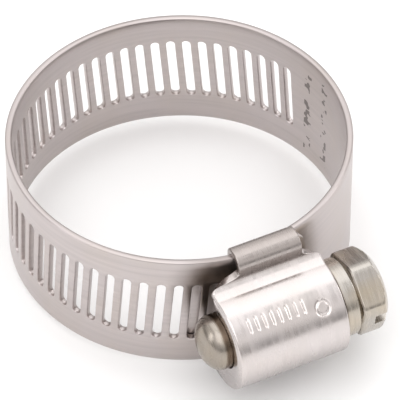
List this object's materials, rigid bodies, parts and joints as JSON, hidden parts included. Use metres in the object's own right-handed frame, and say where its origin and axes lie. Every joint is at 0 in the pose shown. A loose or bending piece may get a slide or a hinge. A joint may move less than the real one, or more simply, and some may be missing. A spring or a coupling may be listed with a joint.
{
  "type": "worm-drive hose clamp",
  "caption": "Stainless worm-drive hose clamp: perforated band, pressed housing with folded straps, saddle, and a slotted hexagon-head worm screw.",
  "frame": {"origin": "on the axis of the hose, halfway across the strip's width", "axes": "+Z along the hose axis; the housing is at -Y; the worm lies along X with its hexagon head towards +X"},
  "size_m": [0.0313, 0.0393, 0.0142],
  "materials": {
    "strip_steel": "brushed along the strip",
    "housing_steel": "pressed, satin",
    "screw_steel": "turned, bright"
  },
  "bodies": {
    "clamp_body": {"band": "strip_steel", "saddle": "strip_steel", "housing": "housing_steel"},
    "strip_tail": {"band_tail": "strip_steel"},
    "worm_screw": {"screw": "screw_steel"}
  },
  "joints": [
    {"name": "screw_turn", "type": "hinge", "parent": "clamp_body", "child": "worm_screw", "pos_m": [0, -0.01872, 0], "axis": [-1, 0, 0], "range_deg": [0, 1800]},
    {"name": "band_draw", "type": "hinge", "parent": "clamp_body", "child": "strip_tail", "pos_m": [0, 0, 0], "axis": [0, 0, 1], "range_deg": [0, 28.2]}
  ],
  "couplings": [
    {"joint": "band_draw", "follows": "screw_turn", "ratio": 0.015625}
  ]
}
